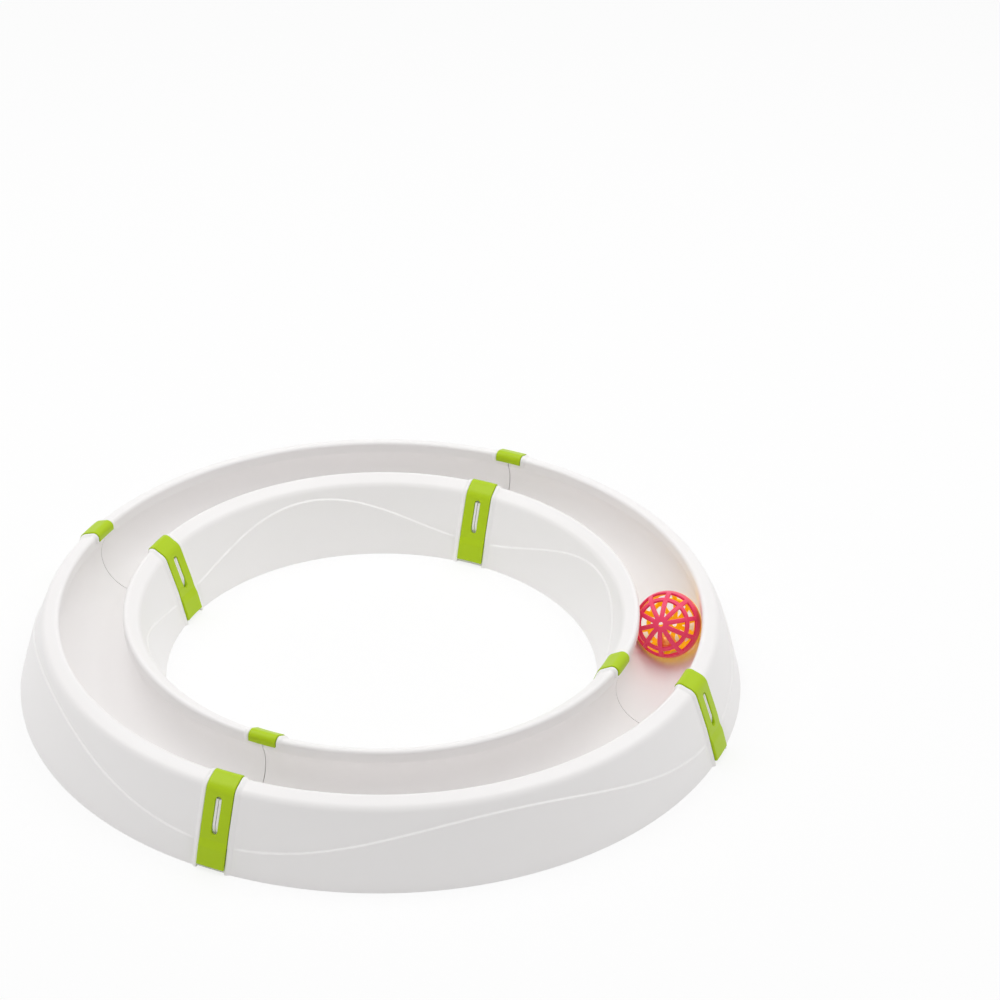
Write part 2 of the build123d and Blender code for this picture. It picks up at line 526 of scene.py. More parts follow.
@dataclass
class SectionLine:
    """Line in the upright plane through the ring's axis, with its length and its normals."""

    same_place = 1e-9

    points: Array
    length: Array = field(init=False)
    normals: Array = field(init=False)
    turning: Array = field(init=False)

    def __post_init__(self) -> None:
        """Works out length, normals and turning; the normal is right of the way along."""
        steps = np.linalg.norm(np.diff(self.points, axis=0), axis=1)
        moved = np.concatenate(([True], steps > self.same_place))
        self.points = self.points[moved]
        steps = np.linalg.norm(np.diff(self.points, axis=0), axis=1)
        self.length = np.concatenate(([0.0], np.cumsum(steps)))
        tangent = np.gradient(self.points, self.length, axis=0)
        tangent /= np.linalg.norm(tangent, axis=1)[:, None]
        self.normals = np.stack((tangent[:, 1], -tangent[:, 0]), axis=-1)
        bearing = np.unwrap(np.arctan2(tangent[:, 1], tangent[:, 0]))
        self.turning = np.concatenate(([0.0], np.cumsum(np.abs(np.diff(bearing)))))

    def stations(self, step: float, turn: float, extra: Sequence[float] = ()) -> Array:
        """Distances along the line, closer where it bends.

        Stations lie at equal steps of length / step + turning / turn. The extra ones are
        added to them, and take the place of those within a quarter of a step.

        Args:
            step: Distance between stations on a straight run.
            turn: Angle between stations on a tight bend.
            extra: Further distances.

        Returns:
            Sorted distances.
        """
        measure = self.length / step + self.turning / turn
        marks = np.linspace(0, measure[-1], math.ceil(measure[-1]) + 1)
        spread = np.interp(marks, measure, self.length)
        if len(extra):
            near = np.abs(spread[:, None] - np.array(extra)[None, :]).min(axis=1)
            inner = (spread > 0) & (spread < self.length[-1])
            spread = spread[~inner | (near > step / 4)]
        return np.unique(np.concatenate((spread, np.array(extra, float))))

    def at(self, distances: Array) -> tuple[Array, Array]:
        """Points and unit normals at distances along the line.

        Args:
            distances: Distances from the start.

        Returns:
            Points and normals, with two numbers for each distance.
        """
        points, normals = (
            np.stack([np.interp(distances, self.length, part[:, axis]) for axis in (0, 1)], -1)
            for part in (self.points, self.normals)
        )
        return points, normals / np.linalg.norm(normals, axis=-1)[..., None]


@dataclass(frozen=True)
class Channel:
    """Round channel in which the ball runs, and the wall of the moulding."""

    track_radius: float = 191.0
    radius: float = 24.0
    floor_height: float = 8.5
    lip_overhang: float = 3.5
    mouth_edge: float = 3.0
    rim_rise: float = 20.7
    rim_edge: float = 2.5
    wall: float = 2.2

    @property
    def centre_height(self) -> float:
        """Height of the channel's centre line."""
        return self.floor_height + self.radius

    @property
    def rim_height(self) -> float:
        """Height of the rims."""
        return self.centre_height + self.rim_rise

    @property
    def mouth_half(self) -> float:
        """Half the width of the mouth between the lips."""
        return self.radius - self.lip_overhang


@dataclass(frozen=True)
class Rim:
    """One rim with its skirt; side is 1 for the outer and -1 for the inner one."""

    channel: Channel
    side: int
    band_width: float
    band_angle: float
    skirt_flare: float
    shoulder_radius: float = 7.0
    skirt_crown: float = 0.9
    crown_radius: float = 80.0
    line_step: float = 0.05
    lip_points: int = 60

    @property
    def lip(self) -> float:
        """Radius of the lip over the channel."""
        return self.channel.track_radius + self.side * self.channel.mouth_half

    @property
    def crest(self) -> Point:
        """Centre of the rounded crest."""
        edge = self.channel.rim_edge
        return self.lip + self.side * edge, self.channel.rim_height - edge

    @property
    def band_top(self) -> Point:
        """Point where the crest runs into the sloping band."""
        tilt = math.radians(self.band_angle)
        edge = self.channel.rim_edge
        return (
            self.crest[0] + self.side * edge * math.sin(tilt),
            self.crest[1] + edge * math.cos(tilt),
        )

    @property
    def shoulder(self) -> Point:
        """Corner between band and skirt, before it is rounded."""
        radius = self.lip + self.side * self.band_width
        drop = abs(radius - self.band_top[0]) * math.tan(math.radians(self.band_angle))
        return radius, self.band_top[1] - drop

    @property
    def base(self) -> Point:
        """Foot of the skirt on the floor."""
        return self.shoulder[0] + self.side * self.skirt_flare, 0.0

    @property
    def middle(self) -> Point:
        """Crowned middle of the skirt, before it is rounded."""
        radius = (self.shoulder[0] + self.base[0]) / 2 + self.side * self.skirt_crown
        return radius, self.shoulder[1] / 2

    @property
    def slope(self) -> float:
        """Flare of the skirt for each millimetre of height."""
        return self.skirt_flare / self.shoulder[1]

    def skirt(self, height: float, proud: float = 0.0) -> Point:
        """Point of the skirt at a height.

        Args:
            height: Height over the floor.
            proud: Distance that it stands off along the normal.

        Returns:
            Radius and height.
        """
        low, high = self.base, self.middle
        if height > self.middle[1]:
            low, high = self.middle, self.shoulder
        share = (height - low[1]) / (high[1] - low[1])
        radius = low[0] + share * (high[0] - low[0])
        return radius + self.side * proud * math.hypot(1, self.slope), height

    def over(self, start: float, ends: Sequence[Point], radii: Sequence[float] = ()) -> Array:
        """Exposed line from the lip over the crest and the band and down the skirt.

        Args:
            start: Height on the lip where it starts.
            ends: Points below the skirt's middle.
            radii: Radii at the ends' inner corners.

        Returns:
            Points of shape (count, 2).
        """
        edge, step = self.channel.rim_edge, self.line_step
        turn = math.pi if self.side > 0 else 0.0
        sweep = -self.side * (math.pi / 2 + math.radians(self.band_angle))
        crest = arc_points(self.crest, edge, turn, turn + sweep, step)
        corners = (self.band_top, self.shoulder, self.middle, *ends)
        skirt = rounded_line(corners, (self.shoulder_radius, self.crown_radius, *radii), step)
        lip = np.linspace((self.lip, start), (self.lip, self.crest[1]), self.lip_points)
        return np.concatenate((lip, crest, skirt))


def smooth_step(share: Array) -> Array:
    """Smooth rise from nought to one: s^2 (3 - 2 s)."""
    return share * share * (3 - 2 * share)


@dataclass(frozen=True)
class StrapSeat:
    """Seat of a strap across a joint: recess, beads beside it and rib in the strap's slot."""

    joint_gap: float = 0.5
    clip_width: float = 18.4
    side_clearance: float = 0.3
    recess_depth: float = 0.8
    lip_start: float = 48.2
    bead_top: float = 1.1
    bead_width: float = 3.8
    bead_height: float = 1.2
    bead_edge: float = 0.5
    bead_start: float = 0.6
    slot_width: float = 4.2
    slot_foot: float = 22.4
    slot_length: float = 22.5
    slot_clearance: float = 0.25
    rib_proud: float = 1.0
    rib_foot: float = -0.65

    @property
    def seat_edge(self) -> float:
        """Distance of the recess's side from the joint's plane."""
        return self.clip_width / 2 + self.side_clearance

    @property
    def slot_centres(self) -> Point:
        """Heights of the centres of the slot's round ends."""
        half = self.slot_width / 2
        return self.slot_foot + half, self.slot_foot + self.slot_length - half

    @property
    def rib_half(self) -> float:
        """Half the width of the rib in the slot."""
        return self.slot_width / 2 - self.slot_clearance

    @property
    def rib_ends(self) -> Point:
        """Heights of the rib's level ends, whose corners clear the slot's round ends."""
        half = self.slot_width / 2
        inset = half - math.sqrt(half**2 - self.rib_half**2) + self.slot_clearance
        return self.slot_foot + inset, self.slot_foot + self.slot_length - inset

    def slot_distance(self, across: Array, height: Array) -> Array:
        """Distance to the upright slot with round ends, negative inside it.

        The slot is all points within half its width of an upright middle line.

        Args:
            across: Distances from the joint's plane.
            height: Heights.

        Returns:
            Signed distances.
        """
        beyond = height - np.clip(height, *self.slot_centres)
        return np.hypot(across, beyond) - self.slot_width / 2

    def relief(self, across: Array, height: Array, slope: Array) -> Array:
        """Height of the seat over the plain surface, by distance from the joint's plane.

        It is the recess within the strap's width, and the rib's ramp between the rib's
        level ends. Each bead has a rounded edge beside the strap, which starts at a share b
        of its height as h (b + (1 - b) sqrt(1 - (1 - d / r)^2)), a level top, and a smooth
        step down to nothing on its far side.

        Args:
            across: Distances from the joint's plane.
            height: Heights.
            slope: Flare of the skirt for each millimetre of height.

        Returns:
            Displacements along the normal.
        """
        edge = self.seat_edge
        beside = across - edge
        share = np.clip((beside - self.bead_top) / (self.bead_width - self.bead_top), 0, 1)
        short = 1 - np.clip(beside / self.bead_edge, 0, 1)
        rounding = self.bead_start + (1 - self.bead_start) * np.sqrt(1 - short**2)
        bead = self.bead_height * (1 - smooth_step(share)) * rounding
        ramp = self.rib_foot + slope * (height - self.slot_foot) / np.hypot(1, slope)
        rib = np.minimum(self.rib_proud, ramp)
        low, high = self.rib_ends
        on_rib = (across < self.rib_half) & (height > low) & (height < high)
        return np.where(across < edge, np.where(on_rib, rib, -self.recess_depth), bead)


@dataclass(frozen=True)
class WaveRelief:
    """Wave on the skirts: the skirt below the wave's line stands a little proud of it."""

    height: float = 29.0
    swing: float = 12.6
    proud: float = 1.0
    edge: float = 1.5
    fall: float = 16.0
    foot: float = 7.0
    start: float = 2.0
    close_rows: float = 2.2

    def line(self, angle: Array, waves: int) -> Array:
        """Height of the wave's line: height - swing * cos(waves * angle from a joint)."""
        return self.height - self.swing * np.cos(waves * angle)

    def relief(self, angle: Array, height: Array, waves: int) -> Array:
        """Rise of the skirt by angle and height.

        A smooth step at the wave's line, which then falls off slowly below the line and
        ends at the foot of the skirt.

        Args:
            angle: Angles from a joint in radians.
            height: Heights.
            waves: Waves around the ring.

        Returns:
            Displacements along the normal.
        """
        below = self.line(angle, waves) - height
        share = np.clip(below / self.edge + 0.5, 0, 1)
        fade = np.exp(-np.clip(below, 0, None) / self.fall)
        return self.proud * smooth_step(share) * fade * np.clip(height / self.foot, 0, 1)


@dataclass(frozen=True)
class TrackSegment:
    """Quarter of the ring: an open-bottomed shell with half a strap seat at each end.

    A point farther than clear_of_bowl outwards from its lip is on the outside of the
    moulding. Columns that are given as distances lie that far from the joint's plane.
    """

    outer: Rim
    inner: Rim
    seat: StrapSeat = StrapSeat()
    wave: WaveRelief = WaveRelief()
    count: int = 4
    row_step: float = 1.25
    row_turn: float = 0.16
    close_count: int = 15
    rib_columns: tuple[float, ...] = (0.7, 1.3)
    recess_columns: tuple[float, ...] = (2.8, 4.4, 6.2, 8.0)
    rounding_columns: int = 6
    slope_columns: int = 9
    bead_margin: float = 0.8
    last_step: float = 2.5
    last_distance: float = 19.0
    middle_columns: int = 68
    skirt_top: float = 49.5
    clear_of_bowl: float = 7.2
    lip_tolerance: float = 0.01
    crisp: float = 0.03

    @property
    def channel(self) -> Channel:
        """Channel that both rims share."""
        return self.outer.channel

    def section(self) -> SectionLine:
        """Exposed line of the section, from the outer foot through the channel to the inner.

        Returns:
            The line, with its normals out of the moulding.
        """
        channel = self.channel
        reach = channel.radius + channel.mouth_edge
        aside = channel.mouth_half + channel.mouth_edge
        rise = math.sqrt(reach**2 - aside**2)
        lean = math.atan2(rise, aside)
        mouth_height = channel.centre_height + rise
        sides = []
        for rim in (self.outer, self.inner):
            over = rim.over(mouth_height, (rim.base,))
            mouth_centre = (rim.lip + rim.side * channel.mouth_edge, mouth_height)
            start, end = (math.pi + lean, math.pi) if rim.side > 0 else (-lean, 0.0)
            mouth = arc_points(mouth_centre, channel.mouth_edge, start, end, rim.line_step)
            sides.append(np.concatenate((mouth, over)))
        bowl = arc_points(
            (channel.track_radius, channel.centre_height),
            channel.radius,
            lean,
            -math.pi - lean,
            self.outer.line_step,
        )
        return SectionLine(np.concatenate((sides[0][::-1], bowl, sides[1])))

    def end_distances(self) -> Array:
        """Distances of the columns from the joint's plane, in pairs at each crisp wall.

        Returns:
            Rising distances, of the columns that run beside the joint.
        """
        seat = self.seat
        edge, rib, wall = seat.seat_edge, seat.rib_half, self.crisp
        quarter = np.linspace(0, math.pi / 2, self.rounding_columns)[1:]
        rounding = edge + seat.bead_edge * (1 - np.cos(quarter))
        slope = edge + np.linspace(seat.bead_top, seat.bead_width, self.slope_columns)
        near = (seat.joint_gap / 2, *self.rib_columns, rib - wall, rib + wall)
        last = self.last_distance
        plain = (slope[-1] + self.bead_margin, last - self.last_step, last)
        walls = (edge - wall, edge + wall)
        return np.concatenate((near, self.recess_columns, walls, rounding, slope, plain))

    def angles(self, radius: Array) -> Array:
        """Angles of the columns about the axis, from one end of the segment to the other.

        Args:
            radius: Radii of shape (1, rows), or (columns, rows) of a mirrored grid.

        Returns:
            Angles of shape (columns, rows).
        """
        distance = self.end_distances()[:, None]
        ends = math.pi / self.count - np.arcsin(distance / radius[: len(distance)])
        share = np.linspace(1, -1, self.middle_columns + 2)[1:-1, None]
        return np.concatenate((ends, share * ends[-1:], -ends[::-1]))

    def row_marks(self, line: SectionLine) -> list[float]:
        """Distances along the section of rows at crisp steps and at the wave's line.

        Args:
            line: The section.

        Returns:
            Distances of pairs of rows at the seat's start and at the rib's ends, and of
            close rows on the skirts.
        """
        marks = []
        close = np.linspace(-self.wave.close_rows, self.wave.close_rows, self.close_count)
        for rim in (self.outer, self.inner):
            for height in (self.seat.lip_start - self.crisp, self.seat.lip_start + self.crisp):
                gap = np.hypot(line.points[:, 0] - rim.lip, line.points[:, 1] - height)
                marks.append(float(line.length[np.argmin(gap)]))
            rows = self.wave.height * math.hypot(1, rim.slope) + close
            rows = np.concatenate((rows, self.rib_rows(line, rim)))
            marks.extend(rows if rim.side > 0 else line.length[-1] - rows)
        return marks

    def rib_rows(self, line: SectionLine, rim: Rim) -> Array:
        """Distances from a foot of the rows that the wave moves to the ends of the rib.

        Args:
            line: The section.
            rim: Rim whose skirt carries the rib.

        Returns:
            Four distances, a pair for each end.
        """
        way = slice(None) if rim.side > 0 else slice(None, None, -1)
        from_foot = np.abs(line.length - line.length[way][0])[way]
        skirt = from_foot < self.skirt_top
        from_foot, height = from_foot[skirt], line.points[way, 1][skirt]
        at_joint = self.moved(from_foot, rim.slope, -self.wave.swing)
        moved_height = np.interp(at_joint, from_foot, height)
        pairs = np.add.outer(self.seat.rib_ends, (-self.crisp, self.crisp)).ravel()
        return np.interp(pairs, moved_height, from_foot)

    def moved(self, from_foot: Array, slope: Amount, rise: Amount) -> Array:
        """Distance of a row from its foot after it has moved with the wave's line.

        It grows by the rise of the line along the skirt, times a weight that is one at the
        close rows and falls evenly to nought at the foot and at the shoulder.

        Args:
            from_foot: Distances along the skirt from its foot.
            slope: Flare of the skirt for each millimetre of height.
            rise: Rise of the wave's line over its middle height.

        Returns:
            Moved distances.
        """
        stretch = np.hypot(1, slope)
        middle = self.wave.height * stretch
        near = self.wave.close_rows
        below = from_foot / (middle - near)
        above = (self.skirt_top - from_foot) / (self.skirt_top - middle - near)
        return from_foot + np.clip(np.minimum(below, above), 0, 1) * rise * stretch

    def wave_rows(self, line: SectionLine, rows: Array, angle: Array) -> Array:
        """Moves the rows of the skirts so that the close ones follow the wave's line.

        Args:
            line: The section.
            rows: Distances along the section.
            angle: Angles of shape (columns, rows).

        Returns:
            Distances of shape (columns, rows).
        """
        outside = rows < line.length[-1] / 2
        from_foot = np.where(outside, rows, line.length[-1] - rows)
        slope = np.where(outside, self.outer.slope, self.inner.slope)
        turn = math.pi / self.count - np.abs(angle)
        rise = self.wave.line(turn, self.count) - self.wave.height
        moved = self.moved(from_foot, slope, rise)
        return np.where(outside, moved, line.length[-1] - moved)

    def relief(self, radius: Array, height: Array, angle: Array) -> Array:
        """Rise of the exposed surface: the seats at both ends and the wave between them.

        A seat covers the upper part of the lip, the rim and the skirt, but not the bowl.
        The wave lies on the skirts alone and fades in beside the beads.

        Args:
            radius: Radii of the points.
            height: Heights of the points.
            angle: Angles of the points about the axis.

        Returns:
            Displacements along the normal.
        """
        channel, seat, wave = self.channel, self.seat, self.wave
        slope = np.where(radius > channel.track_radius, self.outer.slope, self.inner.slope)
        past_lip = np.abs(radius - channel.track_radius) - channel.mouth_half
        on_lip = (np.abs(past_lip) < self.lip_tolerance) & (height > seat.lip_start)
        over_rim = height > channel.rim_height - channel.rim_edge
        on_skirt = past_lip > self.clear_of_bowl
        turn = math.pi / self.count - np.abs(angle)
        across = radius * np.sin(turn)
        seated = np.where(on_lip | over_rim | on_skirt, seat.relief(across, height, slope), 0)
        waved = np.where(on_skirt, wave.relief(turn, height, self.count), 0)
        beside = across - seat.seat_edge - seat.bead_width
        return seated + waved * np.clip(beside / wave.start, 0, 1)

    def surfaces(self) -> tuple[Array, Array]:
        """Grids of the exposed surface and of the underside, centred on the X axis.

        A row is a point of the section, moved with the wave's line on the skirts, and a
        column an angle. Near each end a column keeps its distance from the joint's plane,
        so its angle is 45 degrees less the arc sine of distance over radius; between the
        ends the angles are evenly shared out. The exposed points move along the normal by
        the relief, and the underside lies one wall below. The feet of both are slid along
        the skirt to the floor.

        Returns:
            Exposed and underside points, each of shape (columns, rows, 3).
        """
        line = self.section()
        rows = line.stations(self.row_step, self.row_turn, self.row_marks(line))
        plain, _ = line.at(rows)
        places = self.wave_rows(line, rows, self.angles(plain[None, :, 0]))
        points, normals = line.at(places)
        angle = self.angles(points[..., 0])
        rise = self.relief(points[..., 0], points[..., 1], angle)
        top = points + rise[..., None] * normals
        under = points - self.channel.wall * normals
        tangent = np.stack((-normals[..., 1], normals[..., 0]), axis=-1)
        for sheet in (top, under):
            for foot in (0, -1):
                slide = sheet[:, foot, 1] / tangent[:, foot, 1]
                sheet[:, foot] -= slide[:, None] * tangent[:, foot]
        return self.turned(top, angle), self.turned(under, angle)

    @staticmethod
    def turned(section: Array, angle: Array) -> Array:
        """Points of a section turned about the axis: x = R cos, y = R sin of the angle."""
        radius, height = section[..., 0], section[..., 1]
        return np.stack((radius * np.cos(angle), radius * np.sin(angle), height), axis=-1)

    def build(self, name: str, turn: float) -> bpy.types.Object:
        """Makes one segment, closed by strips at its feet and its ends.

        Args:
            name: Name of the piece.
            turn: Angle in degrees about the axis.

        Returns:
            The piece.
        """
        skin = Skin()
        top, under = (spun(grid, turn) for grid in self.surfaces())
        skin.add(top)
        skin.add(under)
        for border in (0, -1):
            skin.add(np.stack((top[border], under[border])))
            skin.add(np.stack((top[:, border], under[:, border])))
        return skin.build(name)


def spun(grid: Array, turn: float) -> Array:
    """Points turned about the Z axis.

    Args:
        grid: Points of shape (..., 3).
        turn: Angle in degrees.

    Returns:
        Turned points.
    """
    cosine, sine = math.cos(math.radians(turn)), math.sin(math.radians(turn))
    return grid @ np.array(((cosine, sine, 0), (-sine, cosine, 0), (0, 0, 1)))


@dataclass(frozen=True)
class StrapClip:
    """Strap over one rim across a joint, with a slot for the rib and a stepped foot."""

    rim: Rim
    seat: StrapSeat = StrapSeat()
    proud: float = 1.8
    inset: float = 0.5
    lip_tip: float = 48.5
    foot_height: float = 2.7
    jog_height: float = 16.5
    jog_length: float = 4.5
    jog_offset: float = 0.9
    jog_radius: float = 6.0
    edge_radius: float = 0.5
    inner_fall: float = 0.6
    row_step: float = 1.1
    row_turn: float = 0.13
    round_rows: int = 10
    edge_columns: int = 6
    middle_columns: int = 12

    def line(self) -> SectionLine:
        """Line of the strap from its lip over the rim to its foot, with a jog on the way.

        Returns:
            The line, with its normals outwards.
        """
        rim, half = self.rim, self.jog_length / 2
        ends = (
            rim.skirt(self.jog_height + half),
            rim.skirt(self.jog_height - half, self.jog_offset),
            rim.skirt(self.foot_height, self.jog_offset),
        )
        points = rim.over(self.lip_tip, ends, (self.jog_radius, self.jog_radius))
        line = SectionLine(points)
        line.normals = -rim.side * line.normals
        return line

    def edge_steps(self) -> Array:
        """Distances from an edge at which its rounding is sampled."""
        return self.edge_radius * (1 - np.cos(np.linspace(0, math.pi / 2, self.edge_columns)))

    def stations(self, line: SectionLine) -> Array:
        """Stations along the strap, closer at its ends and at the slot's round ends.

        Args:
            line: Line of the strap.

        Returns:
            Sorted distances along the line.
        """
        low, high = self.seat.slot_centres
        quarter = np.linspace(0, math.pi / 2, self.round_rows)
        swing = self.seat.slot_width / 2 * np.sin(quarter)
        rounds = np.concatenate((low - swing, high + swing))
        skirt = line.points[:, 1] < self.rim.shoulder[1] - self.rim.shoulder_radius / 2
        down = skirt & (np.abs(line.points[:, 0] - self.rim.lip) > self.rim.channel.rim_edge)
        slot_rows = np.interp(-rounds, -line.points[down, 1], line.length[down])
        ends = np.concatenate((self.edge_steps(), line.length[-1] - self.edge_steps()))
        return line.stations(self.row_step, self.row_turn, np.concatenate((slot_rows, ends)))

    def half_sheet(self) -> tuple[Array, Array]:
        """Outer and inner surfaces of the half strap on the positive side of the joint.

        A row is a station along the strap. A column's distance across runs from the slot's
        half width, which is zero beyond the slot, to half the strap's width. The outer
        surface falls back near an edge on a quarter circle: r - sqrt(r^2 - (r - d)^2) at a
        distance d under r. The inner one falls back by a share of that.

        Returns:
            Outer and inner points of shape (rows, columns, 3), about the X axis.
        """
        line = self.line()
        stations = self.stations(line)
        points, normals = line.at(stations)
        height = points[:, 1]
        half_slot, half_width = self.seat.slot_width / 2, self.seat.clip_width / 2
        on_skirt = np.abs(points[:, 0] - self.rim.lip) > self.rim.channel.rim_edge
        beyond = height - np.clip(height, *self.seat.slot_centres)
        hole = np.sqrt(np.clip(half_slot**2 - beyond**2, 0, None)) * on_skirt

        steps = self.edge_steps()
        share = np.linspace(0, 1, self.middle_columns)[None, 1:-1]
        near = hole[:, None] + steps[None]
        far = np.broadcast_to(half_width - steps[None, ::-1], near.shape)
        middle = near[:, -1:] + share * (far[:, :1] - near[:, -1:])
        across = np.concatenate((near, middle, far), axis=1)

        slot = self.seat.slot_distance(across, height[:, None])
        slot = np.where(on_skirt[:, None], slot, half_width)
        ends = np.minimum(stations, line.length[-1] - stations)[:, None]
        gap = np.minimum(np.minimum(slot, half_width - across), ends)
        inside = np.clip(self.edge_radius - gap, 0, self.edge_radius)
        fall = self.edge_radius - np.sqrt(self.edge_radius**2 - inside**2)
        sheets = []
        for offset, part in ((self.proud, -1), (-self.inset, self.inner_fall)):
            spot = points[:, None] + (offset + part * fall)[..., None] * normals[:, None]
            along = np.sqrt(spot[..., 0] ** 2 - across**2)
            sheets.append(np.stack((along, across, spot[..., 1]), axis=-1))
        return sheets[0], sheets[1]

    def build(self, name: str, turn: float) -> bpy.types.Object:
        """Makes one clip from two half sheets, joined by strips round all edges.

        Args:
            name: Name of the piece.
            turn: Angle in degrees about the axis.

        Returns:
            The piece.
        """
        skin = Skin()
        sheets = self.half_sheet()
        sideways = spun(np.array((0.0, 1.0, 0.0)), turn)
        for mirror in (1, -1):
            outside, inside = (spun(sheet * (1, mirror, 1), turn) for sheet in sheets)
            skin.add(outside)
            skin.add(inside)
            for border in (0, -1):
                skin.add(np.stack((outside[border], inside[border])))
            skin.add(np.stack((outside[:, -1], inside[:, -1])))
            open_row = np.abs(outside[:, 0] @ sideways) > skin.weld_step
            cells = (open_row[:-1] | open_row[1:])[None]
            skin.add(np.stack((outside[:, 0], inside[:, 0])), cells)
        return skin.build(name)


class BallHalf(Enum):
    """Halves of the ball by the sign of their side of the equator."""

    PINK = 1
    YELLOW = -1


@dataclass(frozen=True)
class LatticeBall:
    """Ball of two lattice halves that meet in a tongue joint at the equator."""

    centre: Array
    radius: float = 22.6
    wall: float = 1.8
    pole_azimuth: float = 229.0
    pole_elevation: float = 31.5
    spoke_count: int = 10
    spoke_width: float = 3.2
    spoke_turn: float = 22.5
    hub_hole: float = 1.6
    hub_angle: float = 14.0
    ring_start: float = 45.0
    ring_end: float = 53.0
    equator_angle: float = 71.0
    tongue_height: float = 1.5
    tongue_thickness: float = 0.8
    tongue_clearance: float = 0.1
    edge_radius: float = 0.55
    inner_fall: float = 0.6
    edge_rows: int = 5
    solid_rows: int = 8
    window_rows: int = 16
    spoke_columns: int = 8
    window_columns: int = 10
    angle_digits: int = 9

    @property
    def bore(self) -> float:
        """Radius of the hollow."""
        return self.radius - self.wall

    def axes(self) -> Array:
        """Axes of the ball in the frame.

        Returns:
            Unit vectors as rows: a level axis, the one square to it, and the pole.
        """
        turn, rise = math.radians(self.pole_azimuth), math.radians(self.pole_elevation)
        pole = np.array(
            (math.cos(rise) * math.cos(turn), math.cos(rise) * math.sin(turn), math.sin(rise))
        )
        level = np.array((-math.sin(turn), math.cos(turn), 0.0))
        return np.stack((level, np.cross(pole, level), pole))

    def latitudes(self) -> Array:
        """Angles off the pole of the rows, close together at every edge of the lattice.

        Returns:
            Rising angles in radians, from the hub's hole to the equator.
        """
        quarter = np.linspace(0, math.pi / 2, self.edge_rows)
        fine = self.edge_radius * (1 - np.cos(quarter)) / self.radius
        hole = math.asin(self.hub_hole / self.radius)
        (hub, start), (end, band) = self.windows()
        rows = []
        for low, high in ((hole, hub), (start, end), (band, math.pi / 2)):
            rows += [low + fine, np.linspace(low, high, self.solid_rows)[1:-1], high - fine]
        for low, high in self.windows():
            rows.append(np.linspace(low, high, self.window_rows)[1:-1])
        return np.unique(np.round(np.concatenate(rows), self.angle_digits))

    def longitudes(self, polar: Array) -> Array:
        """Angles about the pole of the columns in each row.

        Spokes keep their width, so a spoke's edge lies at the arc sine of half its width
        over the row's distance from the pole; columns are shared out across each spoke and
        each window. Inside the hub the columns run straight to the hole.

        Args:
            polar: Angles off the pole of the rows.

        Returns:
            Angles of shape (rows, columns), closed round the pole.
        """
        reach = self.radius * np.sin(np.maximum(polar, math.radians(self.hub_angle)))
        edge = np.arcsin(self.spoke_width / 2 / reach)[:, None]
        pitch = 2 * math.pi / self.spoke_count
        swing = np.linspace(-math.pi / 2, math.pi / 2, self.spoke_columns + 1)
        spoke = np.sin(swing)[None] * edge
        share = np.linspace(0, 1, self.window_columns + 1)[None, 1:-1]
        window = edge + (pitch - 2 * edge) * share
        sector = np.concatenate((spoke, window), axis=1)
        turns = pitch * np.arange(self.spoke_count)[None, :, None]
        ring = (sector[:, None] + turns).reshape(len(polar), -1)
        closed = np.concatenate((ring, ring[:, :1] + 2 * math.pi), axis=1)
        return closed + math.radians(self.spoke_turn)

    def edge_distance(self, polar: Array, angle: Array) -> Array:
        """Distance of each point from the nearest window, hole or parting edge.

        A window is a range of latitudes between two spokes; outside it the distance is the
        hypotenuse of the overshoot in latitude and of the depth into the spoke.

        Args:
            polar: Angles off the pole, of shape (rows, 1).
            angle: Angles about the pole, of shape (rows, columns).

        Returns:
            Distances of shape (rows, columns).
        """
        pitch = 2 * math.pi / self.spoke_count
        turn = (angle - math.radians(self.spoke_turn) + pitch / 2) % pitch - pitch / 2
        aside = self.radius * np.sin(polar) * np.sin(np.abs(turn))
        into_spoke = np.clip(self.spoke_width / 2 - aside, 0, None)
        gaps = [
            self.radius * np.sin(polar) - self.hub_hole,
            self.radius * (math.pi / 2 - polar) + self.edge_radius / 2,
        ]
        for low, high in self.windows():
            beyond = np.maximum(np.maximum(low - polar, polar - high), 0) * self.radius
            gaps.append(np.hypot(beyond, into_spoke))
        shape = np.broadcast_shapes(polar.shape, angle.shape)
        return np.clip(np.min([np.broadcast_to(gap, shape) for gap in gaps], axis=0), 0, None)

    def windows(self) -> list[Point]:
        """Extents of the two rows of windows.

        Returns:
            Least and greatest angle off the pole of each row, in radians.
        """
        bounds = (self.hub_angle, self.ring_start, self.ring_end, self.equator_angle)
        hub, start, end, band = (math.radians(bound) for bound in bounds)
        return [(hub, start), (end, band)]

    def placed(self, radius: Array, polar: Array, angle: Array, half: BallHalf) -> Array:
        """Points in the frame from radius, angle off the half's pole and angle about it.

        Args:
            radius: Distances from the ball's centre.
            polar: Angles off the half's own pole.
            angle: Angles about the pole.
            half: Half of the ball, whose sign turns the pole over.

        Returns:
            Points of shape (rows, columns, 3).
        """
        flat = radius * np.sin(polar)
        parts = (flat * np.cos(angle), flat * np.sin(angle), half.value * radius * np.cos(polar))
        return self.centre + np.stack(np.broadcast_arrays(*parts), axis=-1) @ self.axes()

    def build(self, name: str, half: BallHalf) -> bpy.types.Object:
        """Makes one half: two lattice sheets, the walls of its openings and its joint.

        Args:
            name: Name of the piece.
            half: Half to make.

        Returns:
            The piece.
        """
        latitude = self.latitudes()
        polar, angle = latitude[:, None], self.longitudes(latitude)
        gap = np.clip(self.edge_radius - self.edge_distance(polar, angle), 0, None)
        fall = self.edge_radius - np.sqrt(self.edge_radius**2 - gap**2)
        depth = self.tongue_height + self.tongue_clearance
        tongue = half is BallHalf.PINK
        stop = math.pi / 2 - (0 if tongue else math.asin(depth / self.bore))
        outside = self.placed(self.radius - fall, polar, angle, half)
        hollow = self.bore + self.inner_fall * fall
        inside = self.placed(hollow, np.minimum(polar, stop), angle, half)

